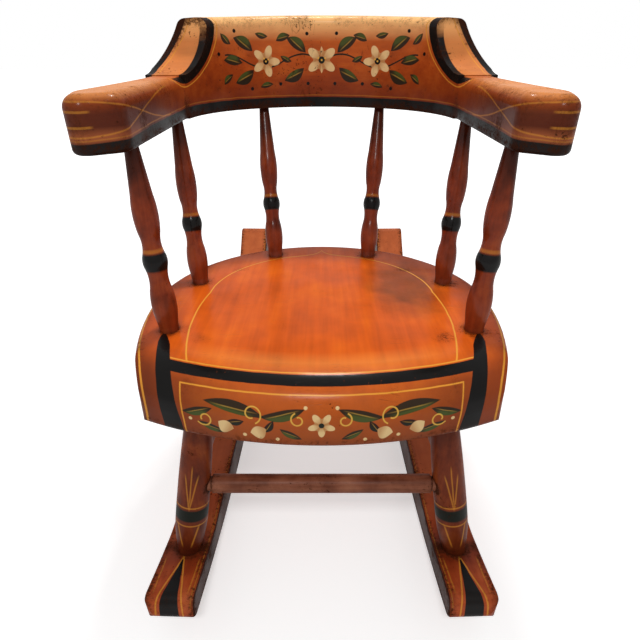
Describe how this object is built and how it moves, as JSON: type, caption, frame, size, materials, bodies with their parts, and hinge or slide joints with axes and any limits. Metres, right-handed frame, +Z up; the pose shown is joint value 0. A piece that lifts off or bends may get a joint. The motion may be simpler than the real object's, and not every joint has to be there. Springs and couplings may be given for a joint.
{
  "type": "child's rocking chair",
  "caption": "Child's low-back wooden rocking chair: plank seat with a rolled front, sawn arm rail with a scooped crest, turned spindles and legs, on two curved rockers.",
  "frame": {"origin": "on the floor, on the line of symmetry, at the middle of the rockers' length", "axes": "+X across the chair, +Y from its front to its back, +Z up"},
  "size_m": [0.3662, 0.62, 0.5185],
  "materials": {
    "seat_paint": "worn orange paint under varnish, satin",
    "rail_paint": "worn red-brown paint under varnish, gloss",
    "spindle_paint": "worn red-brown paint, satin",
    "leg_paint": "worn dark brown paint, satin",
    "rocker_paint": "worn orange-red paint, satin",
    "bare_wood": "bare hardwood"
  },
  "bodies": {
    "root": {"seat_plank": "seat_paint", "seat_front_roll": "seat_paint", "front_roll_dowels": "bare_wood", "arm_left": "rail_paint", "arm_right": "rail_paint", "arm_joint_dowels": "bare_wood", "crest": "rail_paint", "crest_dowels": "bare_wood", "spindle_front_left": "spindle_paint", "spindle_front_right": "spindle_paint", "spindle_middle_left": "spindle_paint", "spindle_middle_right": "spindle_paint", "spindle_rear_left": "spindle_paint", "spindle_rear_right": "spindle_paint", "leg_front_left": "leg_paint", "leg_front_right": "leg_paint", "leg_rear_left": "leg_paint", "leg_rear_right": "leg_paint", "stretcher_front": "leg_paint", "stretcher_rear": "leg_paint", "stretcher_left": "leg_paint", "stretcher_right": "leg_paint", "rocker_left": "rocker_paint", "rocker_right": "rocker_paint", "rocker_pins": "bare_wood"}
  },
  "joints": []
}
